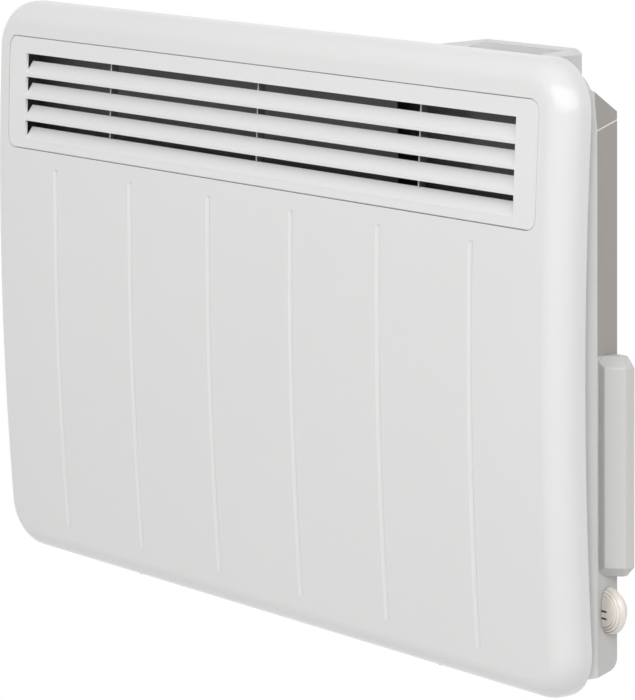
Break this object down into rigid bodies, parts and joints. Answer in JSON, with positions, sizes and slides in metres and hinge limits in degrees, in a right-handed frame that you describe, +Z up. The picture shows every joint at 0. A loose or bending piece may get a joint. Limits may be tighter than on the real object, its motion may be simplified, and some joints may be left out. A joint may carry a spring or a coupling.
{
  "type": "panel heater",
  "caption": "Wall-mounted white panel heater: crowned fluted front with a louvred outlet grille, steel casing, side wiring cover, turning thermostat knob and wall bracket.",
  "frame": {"origin": "centre of the wall-screw holes, on the wall plane, level with the middle of the front panel", "axes": "+X to the right seen from the front, +Y into the wall, +Z up"},
  "size_m": [0.6885, 0.0841, 0.4337],
  "materials": {
    "white_paint": "gloss",
    "white_plastic": "satin",
    "pod_plastic": "satin",
    "cream_plastic": "satin",
    "galvanised": "satin",
    "dark_sheet": "matt",
    "zinc": "bright",
    "element_alloy": "satin",
    "ceramic": "matt",
    "switch_plastic": "matt",
    "block_plastic": "matt",
    "bush_rubber": "matt",
    "brass": "bright"
  },
  "bodies": {
    "heater": {"front_panel": "white_paint", "rear_casing": "white_paint", "casing_hood": "white_paint", "outlet_grille": "white_plastic", "side_cover": "white_plastic", "pod_housing": "pod_plastic", "pod_cover": "pod_plastic", "panel_brackets": "galvanised", "element_brackets": "galvanised", "heat_shield": "galvanised", "front_baffle": "galvanised", "control_bulkhead": "galvanised", "wall_bracket": "galvanised", "outlet_duct": "dark_sheet", "panel_screws": "zinc", "thermostat_nut": "zinc", "element_pins": "zinc", "heating_element": "element_alloy", "element_bushes": "ceramic", "thermostat_body": "switch_plastic", "thermal_cutout": "switch_plastic", "terminal_block": "block_plastic", "cable_bush": "bush_rubber", "earth_stud": "brass", "earth_nut": "brass"},
    "knob": {"thermostat_spindle": "zinc", "thermostat_knob": "cream_plastic"}
  },
  "joints": [
    {"name": "thermostat_turn", "type": "hinge", "parent": "heater", "child": "knob", "pos_m": [0.3315, -0.0331, -0.1535], "axis": [1, 0, 0], "range_deg": [-135, 135]}
  ]
}
